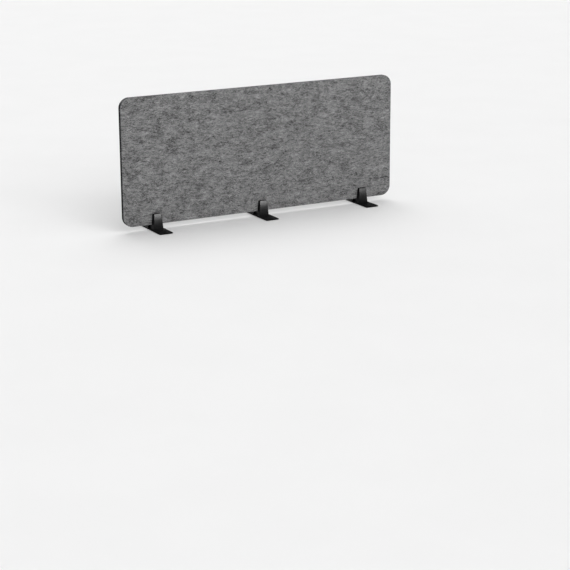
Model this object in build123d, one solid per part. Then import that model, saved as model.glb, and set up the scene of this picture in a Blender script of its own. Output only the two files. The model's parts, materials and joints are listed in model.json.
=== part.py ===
"""Free-standing desk divider screen: a felt panel held upright by three clamp feet.

Millimetres. The origin is on the surface that the feet stand on, under the middle of the panel.
+X runs along the panel, -Y is the front, +Y is the side of the clamp knobs, +Z is up.
"""
from build123d import *
import os

# Felt panel: two boards bonded back to back
panel_length = 1200
panel_height = 500
board_thickness = 9
panel_corner_radius = 40
panel_edge_radius = 1.5
panel_lift = 22

# Feet: how far the outer ones stand in from the panel's ends, and the flat base plate of each
foot_inset = 138
base_width = 56
base_depth = 200
base_thickness = 3
base_corner_radius = 5
base_edge_radius = 0.6

# Rubber pads under the base plate
foot_pad_thickness = 1.5
foot_pad_diameter = 16
foot_pad_margin = 5
foot_pad_edge_radius = 0.3

# Jaws: wedges, one in front of the panel and one behind it, widest at the foot of their inner face.
# The draft is how far each flank leans in for the depth that it spans.
jaw_height = 61.5
jaw_bottom_width = 49
jaw_top_width = 36
jaw_side_draft_share = 0.25
jaw_bottom_depth = 15
jaw_top_depth = 8.5
jaw_face_bulge = 1.4
jaw_corner_radius = 5
jaw_edge_radius = 2.5

# Panel rest between the jaws
rest_width = 34
rest_edge_radius = 1

# Gap that a piece keeps from the panel or from a stop
seat_clearance = 0.3

# Grip pad on the front jaw
grip_pad_thickness = 1.2
grip_pad_margin = 2.5
grip_pad_corner_radius = 4

# Pressure plate and its pad, pushed against the back of the panel
clamp_height = 38
clamp_travel = 4
pressure_plate_width = 30
pressure_plate_height = 30
pressure_plate_thickness = 3.5
pressure_plate_corner_radius = 4
pressure_pad_thickness = 1.5

# Clamp screw with its tip, which turns in the pressure plate
clamp_screw_diameter = 6
tip_diameter = 4
tip_groove_diameter = 3.2
running_clearance = 0.05
end_play = 0.1

# Retaining ring in the groove of the tip, sunk in the pressure plate
ring_diameter = 7.6
ring_thickness = 0.8
ring_recess_diameter = 9
ring_recess_depth = 1.7
tip_overhang = 0.5

# Thread bush pressed into the rear jaw
bush_diameter = 10
bush_length = 10
bush_flange_diameter = 14
bush_flange_thickness = 1.5
screw_hole_clearance = 0.3

# Fluted knob on the clamp screw
knob_gap = 0.6
knob_boss_diameter = 13
knob_boss_length = 3
knob_diameter = 24
knob_length = 12
knob_flute_count = 6
knob_flute_radius = 4
knob_flute_depth = 1.8
knob_edge_radius = 1
knob_socket_depth = 10

# Countersunk screws, driven up through the base plate
base_screw_diameter = 4
base_screw_length = 12
base_screw_head_diameter = 7.4
base_screw_head_height = 2.1
base_screw_socket_sides = 6
base_screw_socket_width = 2.5
base_screw_socket_depth = 1.3
base_screw_clearance = 0.2
base_screw_tip_gap = 1.5
jaw_screw_spacing = 22

# One overrun for every cut
overrun = 1

# Heights
base_bottom_z = foot_pad_thickness
base_top_z = base_bottom_z + base_thickness
clamp_z = base_top_z + clamp_height

# Distance from the middle foot to each outer one
foot_spacing = panel_length / 2 - foot_inset

# Places across the panel, from the front jaw to the knob
front_face_y = -board_thickness
grip_pad_face_y = front_face_y - seat_clearance
front_jaw_y = grip_pad_face_y - grip_pad_thickness
pressure_pad_face_y = board_thickness + seat_clearance
pressure_plate_face_y = pressure_pad_face_y + pressure_pad_thickness
ring_back_y = pressure_plate_face_y + ring_recess_depth - end_play
ring_front_y = ring_back_y - ring_thickness
pressure_plate_back_y = pressure_plate_face_y + pressure_plate_thickness
rear_jaw_y = pressure_plate_back_y + clamp_travel + seat_clearance
knob_front_y = rear_jaw_y + jaw_bottom_depth + knob_gap
knob_body_y = knob_front_y + knob_boss_length

# Places of the base screws: two under each jaw and one under the rest
screw_places = [
    (-jaw_screw_spacing / 2, front_jaw_y - jaw_bottom_depth / 2),
    (jaw_screw_spacing / 2, front_jaw_y - jaw_bottom_depth / 2),
    (-jaw_screw_spacing / 2, rear_jaw_y + jaw_bottom_depth / 2),
    (jaw_screw_spacing / 2, rear_jaw_y + jaw_bottom_depth / 2),
    (0, (front_jaw_y + rear_jaw_y) / 2),
]


def rod_along_y(radius, start_y, end_y, z=0):
    """Round rod on the foot's middle plane, from start_y to end_y."""
    rod = Cylinder(radius, end_y - start_y, align=(Align.CENTER, Align.CENTER, Align.MIN))
    return Pos(0, start_y, z) * Rot(-90, 0, 0) * rod


def upright_plate(width, height, thickness, corner_radius, front_y, centre_z):
    """Flat plate with rounded corners that stands across Y, its front face at front_y."""
    outline = Pos(0, centre_z) * RectangleRounded(width, height, corner_radius)
    return Pos(0, front_y, 0) * extrude(Plane.XZ * outline, amount=-thickness)


def felt_board():
    """Front board of the panel, its outer edge slightly eased all round."""
    outline = Pos(0, panel_lift + panel_height / 2) * RectangleRounded(
        panel_length, panel_height, panel_corner_radius)
    board = extrude(Plane.XZ * outline, amount=board_thickness)
    outer_edges = board.faces().sort_by(Axis.Y)[0].edges()
    return fillet(outer_edges, panel_edge_radius)


def screw_hole():
    """Clearance hole for one base screw: countersink, then a plain bore."""
    head_radius = base_screw_head_diameter / 2 + base_screw_clearance
    shank_radius = base_screw_diameter / 2 + base_screw_clearance
    sink = Cone(head_radius, shank_radius, base_screw_head_height,
                align=(Align.CENTER, Align.CENTER, Align.MIN))
    bore = Cylinder(shank_radius, base_thickness + overrun,
                    align=(Align.CENTER, Align.CENTER, Align.MIN))
    return sink + bore


def base_plate():
    """Flat steel plate with rounded corners and countersunk holes in its underside."""
    plate = extrude(RectangleRounded(base_width, base_depth, base_corner_radius), amount=base_thickness)
    plate = fillet(plate.faces().sort_by(Axis.Z)[-1].edges(), base_edge_radius)
    for x, y in screw_places:
        plate -= Pos(x, y, 0) * screw_hole()
    return Pos(0, 0, base_bottom_z) * plate


def foot_pads():
    """Four round rubber pads, one near each corner of the base plate."""
    pad = Cylinder(foot_pad_diameter / 2, foot_pad_thickness,
                   align=(Align.CENTER, Align.CENTER, Align.MIN))
    pad = fillet(pad.faces().sort_by(Axis.Z)[0].edges(), foot_pad_edge_radius)
    reach = foot_pad_margin + foot_pad_diameter / 2
    x = base_width / 2 - reach
    y = base_depth / 2 - reach
    return [Pos(side * x, end * y, 0) * pad for side in (-1, 1) for end in (-1, 1)]


def base_screw():
    """Countersunk screw with a hexagon socket, its head flush with the plate's underside."""
    low = (Align.CENTER, Align.CENTER, Align.MIN)
    head = Cone(base_screw_head_diameter / 2, base_screw_diameter / 2, base_screw_head_height, align=low)
    shank = Cylinder(base_screw_diameter / 2, base_screw_length, align=low)
    hexagon = RegularPolygon(base_screw_socket_width / 2, base_screw_socket_sides, major_radius=False)
    socket = extrude(hexagon, amount=base_screw_socket_depth)
    return Pos(0, 0, base_bottom_z) * (head + shank - socket)


def tapped_holes(places):
    """Blind holes above the base plate that the base screws turn into."""
    depth = base_screw_length - base_thickness + base_screw_tip_gap
    hole = Cylinder(base_screw_diameter / 2 + running_clearance, depth + overrun,
                    align=(Align.CENTER, Align.CENTER, Align.MIN))
    return [Pos(x, y, base_top_z - overrun) * hole for x, y in places]


def jaw_outline(inset):
    """Outline of the jaw seen from the front, each flank moved in by the inset."""
    bottom_reach = jaw_bottom_width / 2 - inset
    top_reach = jaw_top_width / 2 - inset
    outline = make_face(Polyline((-bottom_reach, 0), (bottom_reach, 0), (top_reach, jaw_height),
                                 (-top_reach, jaw_height), close=True))
    return fillet(outline.vertices().group_by(Axis.Y)[-1], jaw_corner_radius)


def jaw_body():
    """Front jaw as a plain wedge: its inner face at y = 0 and its foot at z = 0."""
    slope = Vector(jaw_bottom_depth - jaw_top_depth, jaw_height)
    outward = Vector(-slope.Y, slope.X).normalized() * jaw_face_bulge
    middle = Vector(-(jaw_bottom_depth + jaw_top_depth) / 2, jaw_height / 2) + outward
    side_line = Polyline((-jaw_bottom_depth, 0), (0, 0), (0, jaw_height), (-jaw_top_depth, jaw_height))
    side_curve = ThreePointArc((-jaw_top_depth, jaw_height), middle, (-jaw_bottom_depth, 0))
    side = make_face(side_line + side_curve)
    wedge = extrude(Plane.YZ * side, amount=jaw_bottom_width / 2, both=True)
    reach = jaw_bottom_depth + jaw_face_bulge + overrun
    inner = Plane.XZ * jaw_outline(0)
    outer = Plane.XZ.offset(reach) * jaw_outline(reach * jaw_side_draft_share)
    body = wedge & loft([inner, outer], ruled=True)
    outer_face = body.faces().filter_by(GeomType.CYLINDER).sort_by(SortBy.AREA)[-1]
    rims = outer_face.edges().sort_by(Axis.Z)[1:]
    return fillet(rims, jaw_edge_radius)


def front_jaw():
    """Jaw in front of the panel."""
    jaw = Pos(0, front_jaw_y, base_top_z) * jaw_body()
    for hole in tapped_holes(screw_places[:2]):
        jaw -= hole
    return jaw


def rear_jaw():
    """Jaw behind the panel, bored for the thread bush and the clamp screw."""
    jaw = Pos(0, rear_jaw_y, base_top_z) * mirror(jaw_body(), about=Plane.XZ)
    for hole in tapped_holes(screw_places[2:4]):
        jaw -= hole
    through_end = rear_jaw_y + jaw_bottom_depth + jaw_face_bulge + overrun
    jaw -= rod_along_y(bush_flange_diameter / 2, rear_jaw_y - overrun,
                       rear_jaw_y + bush_flange_thickness, clamp_z)
    jaw -= rod_along_y(bush_diameter / 2, rear_jaw_y, rear_jaw_y + bush_length, clamp_z)
    jaw -= rod_along_y(clamp_screw_diameter / 2 + screw_hole_clearance, rear_jaw_y, through_end, clamp_z)
    return jaw


def panel_rest():
    """Block between the jaws that carries the panel's lower edge."""
    height = panel_lift - seat_clearance - base_top_z
    block = Box(rest_width, rear_jaw_y - front_jaw_y, height,
                align=(Align.CENTER, Align.MIN, Align.MIN))
    block = fillet(block.edges().filter_by(Axis.Y).group_by(Axis.Z)[-1], rest_edge_radius)
    rest = Pos(0, front_jaw_y, base_top_z) * block
    for hole in tapped_holes(screw_places[4:]):
        rest -= hole
    return rest


def grip_pad():
    """Rubber pad on the front jaw's inner face, from the panel's lower edge to near the jaw's top."""
    top_z = base_top_z + jaw_height - grip_pad_margin
    return upright_plate(jaw_top_width - 2 * grip_pad_margin, top_z - panel_lift, grip_pad_thickness,
                         grip_pad_corner_radius, front_jaw_y, (top_z + panel_lift) / 2)


def thread_bush():
    """Flanged bush that the clamp screw runs in."""
    bush = rod_along_y(bush_flange_diameter / 2, rear_jaw_y, rear_jaw_y + bush_flange_thickness, clamp_z)
    bush += rod_along_y(bush_diameter / 2, rear_jaw_y, rear_jaw_y + bush_length, clamp_z)
    bore_radius = clamp_screw_diameter / 2 + running_clearance
    bore = rod_along_y(bore_radius, rear_jaw_y - overrun, rear_jaw_y + bush_length + overrun, clamp_z)
    return bush - bore


def pressure_plate():
    """Plate on the clamp screw's tip, with a recess for the retaining ring in its front face."""
    plate = upright_plate(pressure_plate_width, pressure_plate_height, pressure_plate_thickness,
                          pressure_plate_corner_radius, pressure_plate_face_y, clamp_z)
    recess_floor_y = pressure_plate_face_y + ring_recess_depth
    plate -= rod_along_y(ring_recess_diameter / 2, pressure_plate_face_y - overrun, recess_floor_y, clamp_z)
    return plate - rod_along_y(tip_diameter / 2 + running_clearance, pressure_plate_face_y,
                               pressure_plate_back_y + overrun, clamp_z)


def pressure_pad():
    """Rubber pad on the pressure plate's front face."""
    return upright_plate(pressure_plate_width, pressure_plate_height, pressure_pad_thickness,
                         pressure_plate_corner_radius, pressure_pad_face_y, clamp_z)


def clamp_screw():
    """Screw with a grooved tip: the shoulder pushes the pressure plate forward."""
    shoulder_y = pressure_plate_back_y + end_play
    screw = rod_along_y(clamp_screw_diameter / 2, shoulder_y, knob_front_y + knob_socket_depth, clamp_z)
    tip_end_y = ring_front_y - running_clearance - tip_overhang
    screw += rod_along_y(tip_diameter / 2, tip_end_y, shoulder_y, clamp_z)
    groove_start, groove_end = ring_front_y - running_clearance, ring_back_y + running_clearance
    groove = rod_along_y(clamp_screw_diameter / 2, groove_start, groove_end, clamp_z)
    groove -= rod_along_y(tip_groove_diameter / 2, groove_start, groove_end, clamp_z)
    return screw - groove


def retaining_ring():
    """Flat ring in the groove of the screw's tip."""
    ring = rod_along_y(ring_diameter / 2, ring_front_y, ring_back_y, clamp_z)
    bore_radius = tip_groove_diameter / 2 + running_clearance
    return ring - rod_along_y(bore_radius, ring_front_y - overrun, ring_back_y + overrun, clamp_z)


def clamp_knob():
    """Fluted knob, moulded round the end of the clamp screw."""
    end_y = knob_body_y + knob_length
    knob = rod_along_y(knob_diameter / 2, knob_body_y, end_y, clamp_z)
    flute_offset = knob_diameter / 2 + knob_flute_radius - knob_flute_depth
    flute = rod_along_y(knob_flute_radius, knob_body_y - overrun, end_y + overrun)
    for place in PolarLocations(flute_offset, knob_flute_count):
        knob -= Pos(place.position.X, 0, clamp_z + place.position.Y) * flute
    knob = fillet(knob.faces().sort_by(Axis.Y)[-1].edges(), knob_edge_radius)
    knob = fillet(knob.faces().sort_by(Axis.Y)[0].edges(), knob_edge_radius)
    knob += rod_along_y(knob_boss_diameter / 2, knob_front_y, knob_body_y, clamp_z)
    socket_end = knob_front_y + knob_socket_depth
    return knob - rod_along_y(clamp_screw_diameter / 2, knob_front_y - overrun, socket_end, clamp_z)


def save(name, solids):
    """Write one named piece, or a group of like pieces, to its own file."""
    export_step(Compound(children=solids), f"parts/{name}.step")


def main():
    os.makedirs("parts", exist_ok=True)
    front_board = felt_board()
    save("front_felt_board", [front_board])
    save("rear_felt_board", [mirror(front_board, about=Plane.XZ)])
    foot = {
        "base_plate": [base_plate()],
        "foot_pads": foot_pads(),
        "base_screws": [Pos(x, y, 0) * base_screw() for x, y in screw_places],
        "front_jaw": [front_jaw()],
        "rear_jaw": [rear_jaw()],
        "panel_rest": [panel_rest()],
        "grip_pad": [grip_pad()],
        "thread_bush": [thread_bush()],
        "pressure_plate": [pressure_plate()],
        "pressure_pad": [pressure_pad()],
        "clamp_screw": [clamp_screw()],
        "retaining_ring": [retaining_ring()],
        "clamp_knob": [clamp_knob()],
    }
    for side, x in (("left", -foot_spacing), ("middle", 0), ("right", foot_spacing)):
        for piece, solids in foot.items():
            save(f"{side}_{piece}", [Pos(x, 0, 0) * solid for solid in solids])


main()
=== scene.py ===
"""Desk divider screen: the looks of a grey felt panel held upright by three black clamp feet.

Metres. +X runs along the panel, -Y is the front, +Y is the side of the clamp knobs, +Z is up.
"""

import json
import math

import bmesh
import bpy
from bpy.props import FloatProperty, FloatVectorProperty, IntProperty, PointerProperty
from mathutils import Matrix, Vector

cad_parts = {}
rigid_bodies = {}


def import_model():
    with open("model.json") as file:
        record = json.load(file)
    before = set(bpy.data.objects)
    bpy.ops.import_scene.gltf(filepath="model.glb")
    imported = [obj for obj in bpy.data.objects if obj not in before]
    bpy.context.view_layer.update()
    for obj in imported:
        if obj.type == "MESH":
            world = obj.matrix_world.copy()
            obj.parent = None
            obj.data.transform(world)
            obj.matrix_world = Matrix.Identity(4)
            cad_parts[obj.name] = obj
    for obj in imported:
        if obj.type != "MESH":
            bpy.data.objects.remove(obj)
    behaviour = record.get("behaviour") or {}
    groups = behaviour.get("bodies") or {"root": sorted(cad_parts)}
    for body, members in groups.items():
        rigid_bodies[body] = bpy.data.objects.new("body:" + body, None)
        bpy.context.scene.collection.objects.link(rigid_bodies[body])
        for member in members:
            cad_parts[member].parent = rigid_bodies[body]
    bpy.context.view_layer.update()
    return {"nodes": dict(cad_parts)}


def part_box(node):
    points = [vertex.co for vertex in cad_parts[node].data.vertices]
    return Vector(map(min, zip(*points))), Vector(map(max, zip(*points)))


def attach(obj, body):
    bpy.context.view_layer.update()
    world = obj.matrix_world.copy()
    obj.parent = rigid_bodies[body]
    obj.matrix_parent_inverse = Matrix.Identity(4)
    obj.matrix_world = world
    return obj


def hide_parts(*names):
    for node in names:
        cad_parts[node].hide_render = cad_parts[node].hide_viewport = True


bl_info = {
    "name": "Desk divider screen",
    "version": (1, 0, 0),
    "blender": (4, 5, 0),
    "location": "3D View > Sidebar > Divider screen",
    "description": "Models and finishes a felt desk divider screen with three clamp feet",
    "category": "Object",
}

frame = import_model()

MM = 0.001
SIDES = ("left", "middle", "right")

# How near a face or an edge lies to the place that it is picked by
RIM_NEAR = 0.1 * MM
FACE_NEAR = 0.05 * MM
GROOVE_NEAR = 0.02 * MM

# How squarely a face looks along Y: the flat faces, the face inside a rim, and a rim's own start
FLAT = 0.99
NEARLY_FLAT = 0.9
RIM_START = 0.6

# Steps that stand for a curve
CORNER_STEPS = 32
SEAM_STEPS = 3
RIM_STEPS = 5
GROOVE_STEPS = 2
KNOB_EDGE_STEPS = 3
FLOOR_SIDES = 128
SWEEP_STEPS = 12

# Angles between two faces past which their edge stays sharp, or is rounded on the knobs
FELT_SHARP_ANGLE = math.radians(50)
METAL_SHARP_ANGLE = math.radians(40)
KNOB_EDGE_ANGLE = math.radians(35)

# Soft waves in the felt's face
WAVE_LENGTH = 30 * MM
WAVE_DETAIL = 2

# Light and camera
SUN_WIDTH = math.radians(50)
PICTURE_WIDTH = 570
SENSOR_WIDTH = 36
VIEW_REACH = 200

# Strokes of fibre in the felt: turn from level, fineness, length over width, share in the melange
FIBRE_LAYERS = (
    (0.05, 170.0, 4.0, 0.52),
    (-0.10, 330.0, 5.0, 0.62),
    (0.10, 900.0, 10.0, 0.60),
    (0.42, 1000.0, 10.0, 0.55),
    (-0.50, 1100.0, 10.0, 0.55),
    (0.95, 1200.0, 10.0, 0.50),
    (-1.05, 1300.0, 10.0, 0.50),
)

# Least lightness of a dark fibre, as a share of the felt's mean
DARKEST_FIBRE = 0.12

# Places taken from the frame
FRONT_BOARD_LOW, FRONT_BOARD_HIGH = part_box("front_felt_board")
REAR_BOARD_LOW, REAR_BOARD_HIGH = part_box("rear_felt_board")
BOARD_LENGTH = FRONT_BOARD_HIGH.x - FRONT_BOARD_LOW.x
BOARD_HEIGHT = FRONT_BOARD_HIGH.z - FRONT_BOARD_LOW.z
BOARD_THICKNESS = FRONT_BOARD_HIGH.y - FRONT_BOARD_LOW.y
BOARD_MIDDLE = (FRONT_BOARD_LOW + FRONT_BOARD_HIGH) / 2
BOND_Y = REAR_BOARD_LOW.y


class FeltSettings(bpy.types.PropertyGroup):
    """Sizes and colours of the two felt boards."""

    face_colour: FloatVectorProperty(
        name="Felt colour", description="Mean colour of the felt's faces",
        subtype="COLOR", size=3, min=0, max=1, default=(0.154, 0.154, 0.155))
    # The cut edges' colour: partly the denser cut felt, mostly painted shade on the boards' side
    # edges.
    painted_shade_edge_colour: FloatVectorProperty(
        name="Cut edge colour", description="Colour of the boards' cut edges",
        subtype="COLOR", size=3, min=0, max=1, default=(0.026, 0.026, 0.028))
    mottle: FloatProperty(
        name="Mottle", description="How far light and dark fibres stand apart",
        subtype="FACTOR", min=0, max=1, default=0.5)
    corner_radius: FloatProperty(
        name="Corner radius", description="Radius of the panel's four corners",
        unit="LENGTH", min=0, default=40 * MM)
    rim_radius: FloatProperty(
        name="Rim radius", description="Rounding of each board's outer rim",
        unit="LENGTH", min=0, default=1.5 * MM)
    seam_radius: FloatProperty(
        name="Seam radius", description="Rounding of each board's rim at the bond",
        unit="LENGTH", min=0, default=0.5 * MM)
    face_grid: FloatProperty(
        name="Face grid", description="Width of the squares that the felt's face is divided into",
        unit="LENGTH", min=2 * MM, default=8 * MM)
    unevenness: FloatProperty(
        name="Unevenness", description="Depth of the soft waves in the felt's face",
        unit="LENGTH", min=0, default=0.35 * MM)
    layer_count: IntProperty(
        name="Layers", description="Pressed layers that show at the cut edge of one board",
        min=1, default=3)
    layer_groove: FloatProperty(
        name="Layer groove", description="Depth of the groove between two pressed layers",
        unit="LENGTH", min=0, default=0.18 * MM)


class ClampSettings(bpy.types.PropertyGroup):
    """Shape of the clamp screws and their knobs. Outer sizes come from the frame."""

    round_sides: IntProperty(
        name="Round sides", description="Flat sides that stand for a screw's round",
        min=8, default=28)
    thread_pitch: FloatProperty(
        name="Thread pitch", description="Advance of the thread for each turn",
        unit="LENGTH", min=0.2 * MM, default=1.0 * MM)
    thread_depth: FloatProperty(
        name="Thread depth", description="Height from the thread's root to its crest",
        unit="LENGTH", min=0, default=0.6 * MM)
    turn_steps: IntProperty(
        name="Steps for a turn", description="Steps that one turn of the thread is made in",
        min=6, default=12)
    run_in: FloatProperty(
        name="Run-in", description="Turns over which the thread rises to its full depth",
        min=0.1, default=0.75)
    tip_radius: FloatProperty(
        name="Tip radius", description="Radius of the tip that turns in the pressure plate",
        unit="LENGTH", min=0, default=2.0 * MM)
    groove_radius: FloatProperty(
        name="Groove radius", description="Radius in the groove for the retaining ring",
        unit="LENGTH", min=0, default=1.6 * MM)
    tip_chamfer: FloatProperty(
        name="Tip chamfer", description="Chamfer on the tip's end",
        unit="LENGTH", min=0, default=0.3 * MM)
    play: FloatProperty(
        name="Play", description="Play of the screw in the groove and at its shoulder",
        unit="LENGTH", min=0, default=0.05 * MM)
    knob_sides: IntProperty(
        name="Knob sides", description="Flat sides that stand for the knob's round",
        min=24, default=72)
    boss_radius: FloatProperty(
        name="Boss radius", description="Radius of the knob's boss",
        unit="LENGTH", min=0, default=6.5 * MM)
    boss_length: FloatProperty(
        name="Boss length", description="Length of the knob's boss",
        unit="LENGTH", min=0, default=3.0 * MM)
    flute_count: IntProperty(
        name="Flutes", description="Finger flutes round the knob",
        min=3, default=6)
    flute_radius: FloatProperty(
        name="Flute radius", description="Radius of each flute",
        unit="LENGTH", min=0, default=4.0 * MM)
    flute_depth: FloatProperty(
        name="Flute depth", description="Depth of each flute",
        unit="LENGTH", min=0, default=1.8 * MM)
    cap_margin: FloatProperty(
        name="Cap margin", description="Width of the rim round the recess in the knob's end",
        unit="LENGTH", min=0, default=3.4 * MM)
    cap_depth: FloatProperty(
        name="Cap depth", description="Depth of the recess in the knob's end",
        unit="LENGTH", min=0, default=0.8 * MM)
    socket_depth: FloatProperty(
        name="Socket depth", description="How far the screw stands in the knob",
        unit="LENGTH", min=0, default=10.0 * MM)
    knob_rounding: FloatProperty(
        name="Knob rounding", description="Radius of the knob's edges",
        unit="LENGTH", min=0, default=0.9 * MM)


class FootSettings(bpy.types.PropertyGroup):
    """Colours and gloss of the clamp feet."""

    steel_colour: FloatVectorProperty(
        name="Steel colour", description="Powder coat on the base plates",
        subtype="COLOR", size=3, min=0, max=1, default=(0.0045, 0.0045, 0.005))
    casting_colour: FloatVectorProperty(
        name="Casting colour", description="Lacquer on the cast jaws",
        subtype="COLOR", size=3, min=0, max=1, default=(0.003, 0.003, 0.0033))
    knob_colour: FloatVectorProperty(
        name="Knob colour", description="Plastic of the clamp knobs",
        subtype="COLOR", size=3, min=0, max=1, default=(0.020, 0.020, 0.021))
    rest_colour: FloatVectorProperty(
        name="Rest colour", description="Plastic of the panel rests",
        subtype="COLOR", size=3, min=0, max=1, default=(0.006, 0.006, 0.007))
    knob_gloss: FloatProperty(
        name="Knob gloss", description="How strongly the knobs' plastic reflects",
        subtype="FACTOR", min=0, max=1, default=0.4)
    rest_gloss: FloatProperty(
        name="Rest gloss", description="How strongly the panel rests' plastic reflects",
        subtype="FACTOR", min=0, max=1, default=0.12)
    rubber_colour: FloatVectorProperty(
        name="Rubber colour", description="Pads under and inside the feet",
        subtype="COLOR", size=3, min=0, max=1, default=(0.018, 0.018, 0.018))
    zinc_colour: FloatVectorProperty(
        name="Zinc colour", description="Plated screws, rings and pressure plates",
        subtype="COLOR", size=3, min=0, max=1, default=(0.56, 0.57, 0.59))
    brass_colour: FloatVectorProperty(
        name="Brass colour", description="Thread bushes",
        subtype="COLOR", size=3, min=0, max=1, default=(0.72, 0.50, 0.22))


class StageSettings(bpy.types.PropertyGroup):
    """Floor, light and camera."""

    floor_colour: FloatVectorProperty(
        name="Floor colour", description="Pale floor",
        subtype="COLOR", size=3, min=0, max=1, default=(0.85, 0.85, 0.85))
    floor_radius: FloatProperty(
        name="Floor radius", description="Radius of the round floor",
        unit="LENGTH", min=1, default=30)
    wall_height: FloatProperty(
        name="Wall height", description="Height of the wall that the floor sweeps up into",
        unit="LENGTH", min=1, default=8)
    key_bearing: FloatProperty(
        name="Key bearing", description="Turn of the key light to the right of the front",
        subtype="ANGLE", default=math.radians(38))
    key_height: FloatProperty(
        name="Key height", description="Height of the key light above the horizon",
        subtype="ANGLE", default=math.radians(48))
    key_strength: FloatProperty(
        name="Key strength", description="Strength of the key light", min=0, default=0.45)
    top_bearing: FloatProperty(
        name="Top bearing", description="Turn of the top light to the right of the front",
        subtype="ANGLE", default=math.radians(150))
    top_height: FloatProperty(
        name="Top height", description="Height of the top light above the horizon",
        subtype="ANGLE", default=math.radians(62))
    top_strength: FloatProperty(
        name="Top strength", description="Strength of the top light", min=0, default=1.25)
    front_bearing: FloatProperty(
        name="Front bearing", description="Turn of the low front light to the right of the front",
        subtype="ANGLE", default=0)
    front_height: FloatProperty(
        name="Front height", description="Height of the low front light above the horizon",
        subtype="ANGLE", default=math.radians(20))
    front_strength: FloatProperty(
        name="Front strength", description="Strength of the low front light", min=0, default=1.95)
    softbox_place: FloatVectorProperty(
        name="Softbox place", description="Middle of the softbox",
        subtype="TRANSLATION", size=3, default=(2.2, -5.5, 1.3))
    softbox_width: FloatProperty(
        name="Softbox width", description="Width of the softbox",
        unit="LENGTH", min=0.1, default=2.6)
    softbox_height: FloatProperty(
        name="Softbox height", description="Height of the softbox",
        unit="LENGTH", min=0.1, default=2.0)
    softbox_power: FloatProperty(
        name="Softbox power", description="Power of the softbox",
        unit="POWER", min=0, default=390)
    sky_strength: FloatProperty(
        name="Sky", description="Strength of the even light from all round",
        min=0, default=0.4)
    focal_pixels: FloatProperty(
        name="Focal length", description="Focal length in pixels of a picture 570 pixels wide",
        min=1, default=1677.08)
    camera_place: FloatVectorProperty(
        name="Camera place", description="Where the camera stands",
        subtype="TRANSLATION", size=3, default=(-3.0491, -5.7889, 1.5482))
    camera_yaw: FloatProperty(
        name="Camera yaw", description="Turn of the view to the right of +Y",
        subtype="ANGLE", default=0.49909)
    camera_pitch: FloatProperty(
        name="Camera pitch", description="Tilt of the view below the horizon",
        subtype="ANGLE", default=0.27392)
    camera_roll: FloatProperty(
        name="Camera roll", description="Turn of the camera about its own view",
        subtype="ANGLE", default=-0.00551)


# Tools for modelling

def start_piece():
    """Leave edit mode and deselect everything, so that an operator acts on the new piece alone."""
    if bpy.context.object and bpy.context.object.mode != "OBJECT":
        bpy.ops.object.mode_set(mode="OBJECT")
    bpy.ops.object.select_all(action="DESELECT")


def pick(piece):
    """Select one piece alone and make it the active one."""
    start_piece()
    piece.select_set(True)
    bpy.context.view_layer.objects.active = piece


def select_only(kind, test):
    """Select the faces or the edges of the piece in edit mode that pass the test."""
    bpy.ops.mesh.select_mode(type=kind)
    bpy.ops.mesh.select_all(action="DESELECT")
    mesh = bmesh.from_edit_mesh(bpy.context.object.data)
    for element in mesh.faces if kind == "FACE" else mesh.edges:
        element.select_set(test(element))
    mesh.select_flush_mode()
    bmesh.update_edit_mesh(bpy.context.object.data)


def select_faces(test):
    """In edit mode, select the faces that pass the test, and nothing else."""
    select_only("FACE", test)


def select_edges(test):
    """In edit mode, select the edges that pass the test, and nothing else."""
    select_only("EDGE", test)


def finish_piece(name, body, node, sharp_angle=METAL_SHARP_ANGLE):
    """Name and smooth the piece, set its object at the origin, tie it to its body and hide the node
    it stands for.
    """
    if bpy.context.object.mode != "OBJECT":
        bpy.ops.object.mode_set(mode="OBJECT")
    piece = bpy.context.object
    piece.name = name
    piece.data.name = name
    bpy.ops.object.transform_apply(location=True, rotation=True, scale=True)
    bpy.ops.object.shade_smooth_by_angle(angle=sharp_angle)
    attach(piece, body)
    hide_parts(node)


def finish_on_every_foot(name, body, node):
    """Finish the piece modelled on the first foot, and a copy of it on each other foot."""
    model = bpy.context.object
    model_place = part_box(f"{SIDES[0]}_{node}")[0]
    for side in SIDES[1:]:
        pick(model)
        bpy.ops.object.duplicate(linked=False)
        bpy.ops.transform.translate(value=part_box(f"{side}_{node}")[0] - model_place)
        finish_piece(f"{side}_{name}", f"{side}_{body}", f"{side}_{node}")
    pick(model)
    finish_piece(f"{SIDES[0]}_{name}", f"{SIDES[0]}_{body}", f"{SIDES[0]}_{node}")


# Material building blocks

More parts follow.
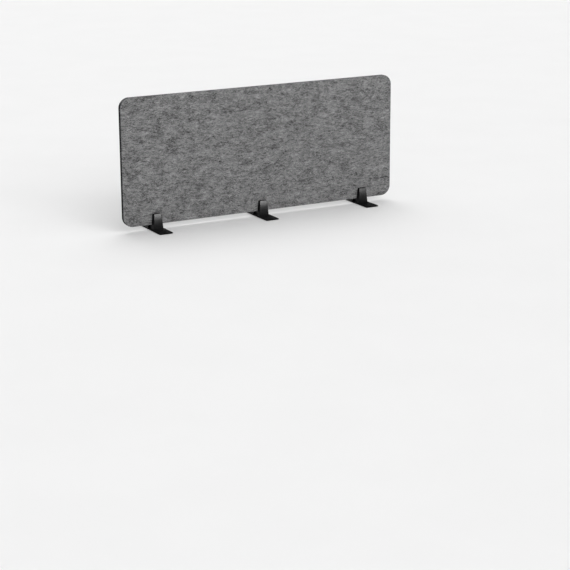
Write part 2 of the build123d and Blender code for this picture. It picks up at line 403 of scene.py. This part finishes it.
class Recipe:
    """A material under construction: its node tree, with short ways to add nodes."""

    def __init__(self, name, roughness, gloss=0.5, metallic=0.0):
        self.material = bpy.data.materials.new(name)
        self.material.use_nodes = True
        self.nodes = self.material.node_tree.nodes
        self.links = self.material.node_tree.links
        self.shader = self.nodes["Principled BSDF"]
        self.shader.inputs["Roughness"].default_value = roughness
        self.shader.inputs["Specular IOR Level"].default_value = gloss
        self.shader.inputs["Metallic"].default_value = metallic
        coordinates = self.nodes.new("ShaderNodeTexCoord")
        self.places = coordinates.outputs["Object"]
        self.facing = coordinates.outputs["Normal"]

    def stretched(self, scale):
        """Object coordinates, stretched by a scale for each axis."""
        node = self.nodes.new("ShaderNodeMapping")
        node.inputs["Scale"].default_value = scale
        self.links.new(self.places, node.inputs["Vector"])
        return node.outputs["Vector"]

    def noise(self, vector, scale, detail=3.0, roughness=0.5, distortion=0.0):
        """Cloudy noise between 0 and 1."""
        node = self.nodes.new("ShaderNodeTexNoise")
        node.inputs["Scale"].default_value = scale
        node.inputs["Detail"].default_value = detail
        node.inputs["Roughness"].default_value = roughness
        node.inputs["Distortion"].default_value = distortion
        self.links.new(vector, node.inputs["Vector"])
        return node.outputs["Fac"]

    def mathematics(self, operation, first, second):
        """One arithmetic step on two values, each a socket or a number."""
        node = self.nodes.new("ShaderNodeMath")
        node.operation = operation
        for place, value in enumerate((first, second)):
            if isinstance(value, (int, float)):
                node.inputs[place].default_value = value
            else:
                self.links.new(value, node.inputs[place])
        return node.outputs["Value"]

    def ramp(self, value, start, stop, low=0.0, high=1.0):
        """Map the value smoothly, from between start and stop to between low and high."""
        node = self.nodes.new("ShaderNodeMapRange")
        node.interpolation_type = "SMOOTHSTEP"
        node.inputs["From Min"].default_value = start
        node.inputs["From Max"].default_value = stop
        node.inputs["To Min"].default_value = low
        node.inputs["To Max"].default_value = high
        self.links.new(value, node.inputs["Value"])
        return node.outputs["Result"]

    def tint(self, colour, value):
        """The colour, made lighter or darker by the value."""
        node = self.nodes.new("ShaderNodeVectorMath")
        node.operation = "SCALE"
        node.inputs["Vector"].default_value = colour
        self.links.new(value, node.inputs["Scale"])
        return node.outputs["Vector"]

    def blend(self, share, first, second):
        """A mix of two colours: the first at a share of 0, the second at a share of 1."""
        node = self.nodes.new("ShaderNodeMix")
        node.data_type = "RGBA"
        self.links.new(share, node.inputs["Factor"])
        for name, value in (("A", first), ("B", second)):
            socket = next(s for s in node.inputs if s.name == name and s.type == "RGBA")
            self.links.new(value, socket)
        return next(s for s in node.outputs if s.type == "RGBA")

    def colour(self, socket):
        """Take the surface's colour from a socket."""
        self.links.new(socket, self.shader.inputs["Base Color"])

    def vary_colour(self, colour, pattern, start, stop, low, high):
        """Make the colour darker where the pattern is low, and lighter where it is high."""
        self.colour(self.tint(colour, self.ramp(pattern, start, stop, low, high)))

    def vary_roughness(self, pattern, start, stop, low, high):
        """Make the surface smoother where the pattern is low, and rougher where it is high."""
        roughness = self.ramp(pattern, start, stop, low, high)
        self.links.new(roughness, self.shader.inputs["Roughness"])

    def relief(self, height, depth, strength):
        """Raise the surface by the height, depth metres for a height of 1."""
        node = self.nodes.new("ShaderNodeBump")
        node.inputs["Strength"].default_value = strength
        node.inputs["Distance"].default_value = depth
        self.links.new(height, node.inputs["Height"])
        self.links.new(node.outputs["Normal"], self.shader.inputs["Normal"])


def bent_places(recipe, scale, reach):
    """Object coordinates, shifted to and fro by slow waves, so that straight strokes bend."""
    wave = recipe.nodes.new("ShaderNodeTexNoise")
    wave.inputs["Scale"].default_value = scale
    wave.inputs["Detail"].default_value = 1.0
    recipe.links.new(recipe.places, wave.inputs["Vector"])
    shift = recipe.nodes.new("ShaderNodeVectorMath")
    shift.operation = "MULTIPLY_ADD"
    shift.inputs[1].default_value = (reach, reach, reach)
    recipe.links.new(wave.outputs["Color"], shift.inputs[0])
    recipe.links.new(recipe.places, shift.inputs[2])
    return shift.outputs["Vector"]


def fibre_layer(recipe, places, turn, scale, length):
    """Fine strokes, longer than wide by the length, turned from the panel's length by an angle."""
    node = recipe.nodes.new("ShaderNodeMapping")
    node.vector_type = "TEXTURE"
    node.inputs["Rotation"].default_value = (0, turn, 0)
    node.inputs["Scale"].default_value = (length, 1, 1)
    recipe.links.new(places, node.inputs["Vector"])
    return recipe.noise(node.outputs["Vector"], scale, detail=2.0, roughness=0.6, distortion=0.3)


def felt_pattern(recipe, mottle):
    """Melange of light and dark fibres: its lightness about 1, and the height of its fibres."""
    flattened = recipe.stretched((1.0, 1.0, 2.2))
    clouds = recipe.noise(flattened, scale=17.0, detail=5.0, roughness=0.78)
    light = recipe.ramp(clouds, start=0.2, stop=0.8, low=-1.1, high=1.1)
    places = bent_places(recipe, scale=42.0, reach=16 * MM)
    height = None
    for turn, scale, length, weight in FIBRE_LAYERS:
        fibres = fibre_layer(recipe, places, turn, scale, length)
        strokes = recipe.ramp(fibres, start=0.3, stop=0.7, low=-weight, high=weight)
        light = recipe.mathematics("ADD", light, strokes)
        height = fibres if height is None else recipe.mathematics("MAXIMUM", height, fibres)
    light = recipe.mathematics("MULTIPLY", light, mottle)
    light = recipe.mathematics("ADD", light, 1.0)
    return recipe.mathematics("MAXIMUM", light, DARKEST_FIBRE), height


def felt_face_material(settings):
    """Needle-punched felt: mottled in streaks along the panel, matt, with raised fibres."""
    recipe = Recipe("felt_face", roughness=0.95, gloss=0.15)
    light, height = felt_pattern(recipe, settings.mottle)
    recipe.colour(recipe.tint(settings.face_colour, light))
    recipe.relief(height, depth=0.5 * MM, strength=0.6)
    recipe.shader.inputs["Sheen Weight"].default_value = 0.12
    recipe.shader.inputs["Sheen Roughness"].default_value = 0.5
    return recipe.material


def felt_edge_painted_shade_material(settings):
    """Cut edge of the felt: dense and dark, its dark colour painted shade where it faces sideways,
    and the face's colour as painted light where it faces up.
    """
    recipe = Recipe("felt_cut_edge_painted_shade", roughness=0.95, gloss=0.1)
    light, height = felt_pattern(recipe, settings.mottle)
    facing = recipe.nodes.new("ShaderNodeSeparateXYZ")
    recipe.links.new(recipe.facing, facing.inputs["Vector"])
    # Painted light and shade by facing: upward edges take the face colour, sideways edges keep the
    # dark painted-shade colour.
    painted_top_light = recipe.ramp(facing.outputs["Z"], start=0.25, stop=0.95)
    recipe.colour(recipe.blend(painted_top_light, recipe.tint(settings.painted_shade_edge_colour, light),
                               recipe.tint(settings.face_colour, light)))
    recipe.relief(height, depth=0.5 * MM, strength=0.6)
    return recipe.material


def coated_steel_material(settings):
    """Matt black powder coat on the plates: a fine orange peel, rubbed a little in places."""
    recipe = Recipe("matt_powder_coat", roughness=0.62, gloss=0.05)
    peel = recipe.noise(recipe.places, scale=900.0, detail=2.0, roughness=0.5)
    wear = recipe.noise(recipe.places, scale=60.0, detail=4.0, roughness=0.6)
    recipe.vary_colour(settings.steel_colour, wear, start=0.3, stop=0.8, low=0.85, high=1.35)
    recipe.vary_roughness(wear, start=0.3, stop=0.7, low=0.55, high=0.68)
    recipe.relief(peel, depth=0.05 * MM, strength=0.5)
    return recipe.material


def coated_casting_material(settings):
    """Black satin lacquer on the cast jaws: smooth, with faint flow and rubbed spots."""
    recipe = Recipe("satin_lacquer", roughness=0.2, gloss=0.14)
    flow = recipe.noise(recipe.places, scale=300.0, detail=2.0, roughness=0.5)
    wear = recipe.noise(recipe.places, scale=80.0, detail=4.0, roughness=0.6)
    recipe.vary_colour(settings.casting_colour, wear, start=0.3, stop=0.8, low=0.85, high=1.35)
    recipe.vary_roughness(wear, start=0.3, stop=0.7, low=0.17, high=0.23)
    recipe.relief(flow, depth=0.03 * MM, strength=0.4)
    return recipe.material


def moulded_plastic_material(name, colour, gloss):
    """Black moulded plastic with a fine spark-eroded grain."""
    recipe = Recipe(name, roughness=0.5, gloss=gloss)
    grain = recipe.noise(recipe.places, scale=2200.0, detail=2.0, roughness=0.6)
    smudge = recipe.noise(recipe.places, scale=90.0, detail=3.0, roughness=0.5)
    recipe.vary_colour(colour, smudge, start=0.3, stop=0.75, low=0.9, high=1.25)
    recipe.vary_roughness(smudge, start=0.3, stop=0.7, low=0.45, high=0.58)
    recipe.relief(grain, depth=0.04 * MM, strength=0.6)
    return recipe.material


def rubber_material(settings):
    """Black rubber, matt and slightly dusty."""
    recipe = Recipe("black_rubber", roughness=0.8)
    grain = recipe.noise(recipe.places, scale=1500.0, detail=2.0, roughness=0.6)
    dust = recipe.noise(recipe.places, scale=140.0, detail=3.0, roughness=0.55)
    recipe.vary_colour(settings.rubber_colour, dust, start=0.35, stop=0.8, low=0.9, high=1.6)
    recipe.relief(grain, depth=0.05 * MM, strength=0.5)
    return recipe.material


def zinc_material(settings):
    """Bright zinc plate with faint turning lines and small stains."""
    recipe = Recipe("zinc_plated_steel", roughness=0.32, metallic=1.0)
    flattened = recipe.stretched((1.0, 30.0, 1.0))
    lines = recipe.noise(flattened, scale=160.0, detail=2.0, roughness=0.5)
    stain = recipe.noise(recipe.places, scale=220.0, detail=3.0, roughness=0.6)
    recipe.vary_colour(settings.zinc_colour, stain, start=0.3, stop=0.75, low=0.92, high=1.03)
    recipe.vary_roughness(stain, start=0.3, stop=0.7, low=0.3, high=0.38)
    recipe.relief(lines, depth=0.02 * MM, strength=0.5)
    return recipe.material


def brass_material(settings):
    """Turned brass, slightly tarnished."""
    recipe = Recipe("turned_brass", roughness=0.3, metallic=1.0)
    flattened = recipe.stretched((1.0, 24.0, 1.0))
    lines = recipe.noise(flattened, scale=180.0, detail=2.0, roughness=0.5)
    tarnish = recipe.noise(recipe.places, scale=260.0, detail=3.0, roughness=0.6)
    recipe.vary_colour(settings.brass_colour, tarnish, start=0.3, stop=0.75, low=0.85, high=1.03)
    recipe.vary_roughness(tarnish, start=0.3, stop=0.7, low=0.22, high=0.4)
    recipe.relief(lines, depth=0.02 * MM, strength=0.5)
    return recipe.material


def floor_material(settings):
    """Pale, even, matt floor with a barely visible grain."""
    recipe = Recipe("pale_floor", roughness=0.7, gloss=0.0)
    grain = recipe.noise(recipe.places, scale=3.0, detail=3.0)
    recipe.vary_colour(settings.floor_colour, grain, start=0.3, stop=0.7, low=0.995, high=1.005)
    return recipe.material


def paint(nodes, material):
    """Give a material to CAD nodes that stay shown."""
    for name in nodes:
        slots = frame["nodes"][name].material_slots
        if not slots:
            raise RuntimeError(f"{name} has no material slot")
        for slot in slots:
            slot.link = "OBJECT"
            slot.material = material


def same_on_every_foot(piece):
    """Names of one piece on all three feet."""
    return [f"{side}_{piece}" for side in SIDES]


class DIVIDER_OT_felt_boards(bpy.types.Operator):
    """Model the two felt boards of the panel"""

    bl_idname = "divider.felt_boards"
    bl_label = "Felt boards"

    def execute(self, context):
        settings = context.scene.divider_felt
        face = felt_face_material(settings)
        edge = felt_edge_painted_shade_material(settings)
        for side, outward in (("front", -1), ("rear", 1)):
            self.model_board(settings, outward)
            self.assign_finishes(settings, outward, face, edge)
            finish_piece(f"{side}_felt", "panel", f"{side}_felt_board",
                         sharp_angle=FELT_SHARP_ANGLE)
        return {"FINISHED"}

    def model_board(self, settings, outward):
        """One board, from the bond at the panel's middle out to its face."""
        seam_y = BOND_Y + outward * settings.seam_radius
        rim_y = BOND_Y + outward * (BOARD_THICKNESS - settings.rim_radius)
        start_piece()
        bpy.ops.mesh.primitive_plane_add(
            size=1, location=(BOARD_MIDDLE.x, seam_y, BOARD_MIDDLE.z),
            rotation=(-outward * math.pi / 2, 0, 0))
        bpy.ops.transform.resize(value=(BOARD_LENGTH, 1, BOARD_HEIGHT))
        bpy.ops.object.transform_apply(location=True, rotation=True, scale=True)
        bpy.ops.object.mode_set(mode="EDIT")
        bpy.ops.mesh.select_all(action="SELECT")
        bpy.ops.mesh.bevel(
            affect="VERTICES", offset=settings.corner_radius, segments=CORNER_STEPS, profile=0.5)
        self.build_layers(settings, outward)
        self.groove_layers(settings, outward)
        self.round_rim(seam_y, settings.seam_radius, SEAM_STEPS)
        self.round_rim(rim_y, settings.rim_radius, RIM_STEPS)
        self.cut_grid(settings, outward)
        self.make_uneven(settings, outward)

    def build_layers(self, settings, outward):
        """Raise the flat outline layer by layer, up to where the outer rim starts to round."""
        layer = BOARD_THICKNESS / settings.layer_count
        stops = [layer * step for step in range(1, settings.layer_count)]
        stops.append(BOARD_THICKNESS - settings.rim_radius)
        height = settings.seam_radius
        bpy.ops.mesh.select_all(action="SELECT")
        for stop in stops:
            bpy.ops.mesh.extrude_region_move(
                TRANSFORM_OT_translate={"value": (0, outward * (stop - height), 0)})
            height = stop
        bpy.ops.mesh.select_all(action="SELECT")
        bpy.ops.mesh.normals_make_consistent(inside=False)

    def groove_layers(self, settings, outward):
        """Sink a shallow groove into the cut edge between two layers."""
        layer = BOARD_THICKNESS / settings.layer_count
        for step in range(1, settings.layer_count):
            groove_y = BOND_Y + outward * layer * step
            select_edges(lambda e: all(abs(v.co.y - groove_y) < RIM_NEAR for v in e.verts))
            bpy.ops.mesh.bevel(offset=2 * settings.layer_groove, segments=GROOVE_STEPS, profile=0.5)
            select_edges(lambda e: all(abs(v.co.y - groove_y) < GROOVE_NEAR for v in e.verts))
            bpy.ops.transform.shrink_fatten(value=-settings.layer_groove)

    def round_rim(self, rim_y, radius, steps):
        """Round the rim of the flat face at rim_y with a ring of insets."""
        select_faces(lambda f: abs(f.normal.y) > NEARLY_FLAT
                     and abs(f.calc_center_median().y - rim_y) < RIM_NEAR)
        before = (0.0, 0.0)
        for step in range(1, steps + 1):
            turn = math.pi / 2 * step / steps
            after = (radius * (1 - math.cos(turn)), radius * math.sin(turn))
            bpy.ops.mesh.inset(thickness=after[0] - before[0], depth=after[1] - before[1])
            before = after

    def select_face(self, outward):
        """Select the board's flat outer face."""
        face_y = BOND_Y + outward * BOARD_THICKNESS
        select_faces(lambda f: abs(f.normal.y) > FLAT
                     and abs(f.calc_center_median().y - face_y) < FACE_NEAR)

    def cut_grid(self, settings, outward):
        """Divide the flat outer face into small squares."""
        for normal, low, length in (((1, 0, 0), FRONT_BOARD_LOW.x, BOARD_LENGTH),
                                    ((0, 0, 1), FRONT_BOARD_LOW.z, BOARD_HEIGHT)):
            count = round(length / settings.face_grid)
            for step in range(1, count):
                place = low + length * step / count
                self.select_face(outward)
                bpy.ops.mesh.bisect(
                    plane_co=tuple(place * component for component in normal), plane_no=normal)

    def make_uneven(self, settings, outward):
        """Give the outer face the soft waves of pressed felt. Its rim keeps its place."""
        self.select_face(outward)
        bpy.ops.mesh.select_less()
        bpy.ops.object.vertex_group_add()
        bpy.ops.object.vertex_group_assign()
        bpy.ops.object.mode_set(mode="OBJECT")
        piece = bpy.context.object
        clouds = bpy.data.textures.new("felt_waves", "CLOUDS")
        clouds.noise_scale = WAVE_LENGTH
        clouds.noise_depth = WAVE_DETAIL
        waves = piece.modifiers.new("felt_waves", "DISPLACE")
        waves.texture = clouds
        waves.texture_coords = "LOCAL"
        waves.direction = "Y"
        waves.mid_level = 0.0
        waves.strength = -outward * settings.unevenness
        waves.vertex_group = piece.vertex_groups[0].name
        bpy.ops.object.modifier_apply(modifier=waves.name)
        piece.vertex_groups.clear()

    def assign_finishes(self, settings, outward, face, edge):
        """Face felt on the outer face and on its rim's start, cut edge felt with painted shade and
        painted light elsewhere.
        """
        piece = bpy.context.object
        piece.data.materials.append(face)
        piece.data.materials.append(edge)
        rim_height = BOARD_THICKNESS - settings.rim_radius
        for polygon in piece.data.polygons:
            near_face = (polygon.center.y - BOND_Y) * outward > rim_height
            polygon.material_index = 0 if near_face and abs(polygon.normal.y) > RIM_START else 1


def round_face(axis, y, radius, sides):
    """Start a piece with a flat round face across Y, and leave it selected in edit mode."""
    start_piece()
    bpy.ops.mesh.primitive_circle_add(
        vertices=sides, radius=radius, fill_type="NGON",
        location=(axis.x, y, axis.z), rotation=(math.pi / 2, 0, 0))
    bpy.ops.object.transform_apply(location=True, rotation=True, scale=True)
    bpy.ops.object.mode_set(mode="EDIT")
    bpy.ops.mesh.select_mode(type="FACE")
    bpy.ops.mesh.select_all(action="SELECT")


def run_along(axis, y, radius, profile):
    """Extrude the selected round face along Y through pairs of place and radius."""
    for next_y, next_radius in profile:
        bpy.ops.mesh.extrude_region_move(TRANSFORM_OT_translate={"value": (0, next_y - y, 0)})
        share = next_radius / radius
        bpy.ops.transform.resize(value=(share, 1, share), center_override=(axis.x, next_y, axis.z))
        y, radius = next_y, next_radius


class DIVIDER_OT_clamp_screws(bpy.types.Operator):
    """Model the threaded clamp screws"""

    bl_idname = "divider.clamp_screws"
    bl_label = "Clamp screws"

    def execute(self, context):
        self.model_screw(context.scene.divider_clamp, SIDES[0])
        bpy.ops.object.mode_set(mode="OBJECT")
        bpy.context.object.data.materials.append(zinc_material(context.scene.divider_foot))
        finish_on_every_foot("threaded_screw", "screw", "clamp_screw")
        return {"FINISHED"}

    def model_screw(self, settings, side):
        """From the tip in the pressure plate to the end in the knob."""
        low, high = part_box(f"{side}_clamp_screw")
        ring_low, ring_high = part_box(f"{side}_retaining_ring")
        plate_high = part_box(f"{side}_pressure_plate")[1]
        boss_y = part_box(f"{side}_clamp_knob")[0].y
        axis = (low + high) / 2
        shoulder_y = plate_high.y + 2 * settings.play
        core_radius = (high.x - low.x - settings.thread_depth) / 2
        end_radius = settings.tip_radius - settings.tip_chamfer
        groove_start, groove_end = ring_low.y - settings.play, ring_high.y + settings.play
        round_face(axis, low.y, end_radius, settings.round_sides)
        run_along(axis, low.y, end_radius, (
            (low.y + settings.tip_chamfer, settings.tip_radius),
            (groove_start, settings.tip_radius), (groove_start, settings.groove_radius),
            (groove_end, settings.groove_radius), (groove_end, settings.tip_radius),
            (shoulder_y, settings.tip_radius), (shoulder_y, core_radius)))
        self.cut_thread(settings, boss_y - shoulder_y)
        bpy.ops.mesh.extrude_region_move(TRANSFORM_OT_translate={"value": (0, high.y - boss_y, 0)})
        bpy.ops.mesh.select_all(action="SELECT")
        bpy.ops.mesh.normals_make_consistent(inside=False)

    def cut_thread(self, settings, length):
        """Move the round face on in steps while its middle circles the axis: it leaves a thread."""
        count = round(length / settings.thread_pitch * settings.turn_steps)
        fade = settings.run_in * settings.turn_steps
        before = Vector((0, 0))
        for step in range(1, count + 1):
            reach = settings.thread_depth / 2 * min(1, step / fade, (count - step) / fade)
            turn = 2 * math.pi * step / settings.turn_steps
            after = Vector((math.cos(turn), math.sin(turn))) * reach
            bpy.ops.mesh.extrude_region_move(TRANSFORM_OT_translate={
                "value": (after.x - before.x, length / count, after.y - before.y)})
            before = after


class DIVIDER_OT_clamp_knobs(bpy.types.Operator):
    """Model the fluted clamp knobs"""

    bl_idname = "divider.clamp_knobs"
    bl_label = "Clamp knobs"

    def execute(self, context):
        finish = context.scene.divider_foot
        plastic = moulded_plastic_material("knob_plastic", finish.knob_colour, finish.knob_gloss)
        self.model_knob(context.scene.divider_clamp, SIDES[0])
        bpy.context.object.data.materials.append(plastic)
        finish_on_every_foot("fluted_knob", "screw", "clamp_knob")
        return {"FINISHED"}

    def model_knob(self, settings, side):
        """From the screw's socket in the boss to the recess in the knob's end."""
        low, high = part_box(f"{side}_clamp_knob")
        screw_low, screw_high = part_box(f"{side}_clamp_screw")
        axis = (screw_low + screw_high) / 2
        radius = high.z - axis.z
        socket_radius = (screw_high.x - screw_low.x) / 2
        body_y = low.y + settings.boss_length
        cap_radius = radius - settings.cap_margin
        round_face(axis, low.y + settings.socket_depth, socket_radius, settings.knob_sides)
        run_along(axis, low.y + settings.socket_depth, socket_radius, (
            (low.y, socket_radius), (low.y, settings.boss_radius), (body_y, settings.boss_radius),
            (body_y, radius), (high.y, radius), (high.y, cap_radius),
            (high.y - settings.cap_depth, cap_radius)))
        bpy.ops.mesh.select_all(action="SELECT")
        bpy.ops.mesh.normals_make_consistent(inside=False)
        bpy.ops.object.mode_set(mode="OBJECT")
        knob = bpy.context.object
        cutter = self.model_flutes(settings, axis, radius, body_y, high.y)
        self.cut_and_round(settings, knob, cutter)

    def model_flutes(self, settings, axis, radius, start_y, end_y):
        """Rods that stand where the knob's flutes are cut."""
        start_piece()
        offset = radius + settings.flute_radius - settings.flute_depth
        length = 2 * (end_y - start_y)
        rods = []
        for place in range(settings.flute_count):
            turn = 2 * math.pi * place / settings.flute_count
            bpy.ops.mesh.primitive_cylinder_add(
                vertices=settings.knob_sides, radius=settings.flute_radius, depth=length,
                location=(axis.x + offset * math.cos(turn), (start_y + end_y) / 2,
                          axis.z + offset * math.sin(turn)),
                rotation=(math.pi / 2, 0, 0))
            rods.append(bpy.context.object)
        for rod in rods:
            rod.select_set(True)
        bpy.ops.object.join()
        return bpy.context.object

    def cut_and_round(self, settings, knob, cutter):
        """Cut the flutes, round the sharp edges and remove the rods."""
        pick(knob)
        flutes = knob.modifiers.new("flutes", "BOOLEAN")
        flutes.operation = "DIFFERENCE"
        flutes.solver = "EXACT"
        flutes.object = cutter
        bpy.ops.object.modifier_apply(modifier=flutes.name)
        rounding = knob.modifiers.new("rounding", "BEVEL")
        rounding.width = settings.knob_rounding
        rounding.segments = KNOB_EDGE_STEPS
        rounding.limit_method = "ANGLE"
        rounding.angle_limit = KNOB_EDGE_ANGLE
        bpy.ops.object.modifier_apply(modifier=rounding.name)
        bpy.data.objects.remove(cutter)


class DIVIDER_OT_finishes(bpy.types.Operator):
    """Give the plates, jaws, rests, pads, rings, bushes and base screws their finishes"""

    bl_idname = "divider.finishes"
    bl_label = "Finishes of the feet"

    def execute(self, context):
        settings = context.scene.divider_foot
        rest_plastic = moulded_plastic_material(
            "rest_plastic", settings.rest_colour, settings.rest_gloss)
        finishes = (
            (coated_steel_material(settings), ("base_plate",)),
            (coated_casting_material(settings), ("front_jaw", "rear_jaw")),
            (rest_plastic, ("panel_rest",)),
            (rubber_material(settings), ("foot_pads", "grip_pad", "pressure_pad")),
            (zinc_material(settings), ("base_screws", "pressure_plate", "retaining_ring")),
            (brass_material(settings), ("thread_bush",)),
        )
        for material, pieces in finishes:
            for piece in pieces:
                paint(same_on_every_foot(piece), material)
        return {"FINISHED"}


class DIVIDER_OT_stage(bpy.types.Operator):
    """Lay the floor, set the lights and place the camera"""

    bl_idname = "divider.stage"
    bl_label = "Stage"

    def execute(self, context):
        settings = context.scene.divider_stage
        self.lay_floor(settings)
        self.set_lights(context, settings)
        self.place_camera(context, settings)
        context.scene.view_settings.view_transform = "Standard"
        return {"FINISHED"}

    def lay_floor(self, settings):
        """A wide round floor whose rim sweeps up into a wall, so that no horizon shows."""
        start_piece()
        bpy.ops.mesh.primitive_circle_add(
            vertices=FLOOR_SIDES, radius=settings.floor_radius, fill_type="NGON",
            location=(0, 0, 0))
        bpy.ops.object.mode_set(mode="EDIT")
        select_edges(lambda e: e.is_boundary)
        bpy.ops.mesh.extrude_edges_move(
            TRANSFORM_OT_translate={"value": (0, 0, settings.wall_height)})
        select_edges(lambda e: all(v.co.z < MM for v in e.verts))
        bpy.ops.mesh.bevel(offset=settings.wall_height / 2, segments=SWEEP_STEPS, profile=0.5)
        bpy.ops.object.mode_set(mode="OBJECT")
        bpy.ops.object.shade_smooth()
        floor = bpy.context.object
        floor.name = "floor"
        floor.data.materials.append(floor_material(settings))

    def set_lights(self, context, settings):
        """Three wide suns, a softbox for the jaws, and an even sky."""
        self.add_sun("key_sun", settings.key_bearing, settings.key_height, settings.key_strength)
        self.add_sun("top_sun", settings.top_bearing, settings.top_height, settings.top_strength)
        self.add_sun("front_sun", settings.front_bearing, settings.front_height,
                     settings.front_strength)
        self.add_softbox(settings)
        world = bpy.data.worlds.new("even_sky")
        world.use_nodes = True
        background = world.node_tree.nodes["Background"]
        background.inputs["Color"].default_value = (1, 1, 1, 1)
        background.inputs["Strength"].default_value = settings.sky_strength
        context.scene.world = world

    def add_sun(self, name, bearing, height, strength):
        """A far, very wide light, so that the floor is evenly lit and shadows are soft."""
        bpy.ops.object.light_add(type="SUN", rotation=(math.pi / 2 - height, 0, bearing))
        light = bpy.context.object
        light.name = name
        light.data.energy = strength
        light.data.angle = SUN_WIDTH

    def add_softbox(self, settings):
        """A softbox in front, on the right, that shows only as a reflection in the glossy jaws."""
        place = Vector(settings.softbox_place)
        bpy.ops.object.light_add(type="AREA", location=place)
        light = bpy.context.object
        light.name = "low_softbox"
        light.rotation_euler = (Vector((0, 0, place.z)) - place).to_track_quat("-Z", "Y").to_euler()
        light.data.shape = "RECTANGLE"
        light.data.size = settings.softbox_width
        light.data.size_y = settings.softbox_height
        light.data.energy = settings.softbox_power
        light.visible_camera = False
        light.visible_diffuse = False

    def place_camera(self, context, settings):
        """Stand the camera at the photograph's angle, with everything in focus."""
        bpy.ops.object.camera_add()
        camera = bpy.context.object
        camera.name = "camera"
        turn = Matrix.Rotation(-settings.camera_yaw, 4, "Z")
        tilt = Matrix.Rotation(math.pi / 2 - settings.camera_pitch, 4, "X")
        roll = Matrix.Rotation(settings.camera_roll, 4, "Z")
        camera.matrix_world = Matrix.Translation(settings.camera_place) @ turn @ tilt @ roll
        camera.data.sensor_width = SENSOR_WIDTH
        camera.data.lens = settings.focal_pixels * SENSOR_WIDTH / PICTURE_WIDTH
        camera.data.clip_end = VIEW_REACH
        context.scene.camera = camera


class DIVIDER_PT_panel(bpy.types.Panel):
    """Sizes and colours of the divider screen, and the buttons that make it"""

    bl_idname = "DIVIDER_PT_panel"
    bl_label = "Divider screen"
    bl_space_type = "VIEW_3D"
    bl_region_type = "UI"
    bl_category = "Divider screen"

    def draw(self, context):
        scene = context.scene
        for settings in (scene.divider_felt, scene.divider_clamp,
                         scene.divider_foot, scene.divider_stage):
            box = self.layout.box()
            for name in settings.bl_rna.properties.keys():
                if name not in ("rna_type", "name"):
                    box.prop(settings, name)
        for operator in OPERATORS:
            self.layout.operator(operator.bl_idname)


OPERATORS = (DIVIDER_OT_felt_boards, DIVIDER_OT_clamp_screws, DIVIDER_OT_clamp_knobs,
             DIVIDER_OT_finishes, DIVIDER_OT_stage)
CLASSES = (FeltSettings, ClampSettings, FootSettings, StageSettings, *OPERATORS, DIVIDER_PT_panel)


def register():
    for each in CLASSES:
        bpy.utils.register_class(each)
    bpy.types.Scene.divider_felt = PointerProperty(type=FeltSettings)
    bpy.types.Scene.divider_clamp = PointerProperty(type=ClampSettings)
    bpy.types.Scene.divider_foot = PointerProperty(type=FootSettings)
    bpy.types.Scene.divider_stage = PointerProperty(type=StageSettings)


def unregister():
    del bpy.types.Scene.divider_stage
    del bpy.types.Scene.divider_foot
    del bpy.types.Scene.divider_clamp
    del bpy.types.Scene.divider_felt
    for each in reversed(CLASSES):
        bpy.utils.unregister_class(each)


def main():
    register()
    bpy.ops.divider.felt_boards()
    bpy.ops.divider.clamp_screws()
    bpy.ops.divider.clamp_knobs()
    bpy.ops.divider.finishes()
    bpy.ops.divider.stage()


if __name__ == "__main__":
    main()
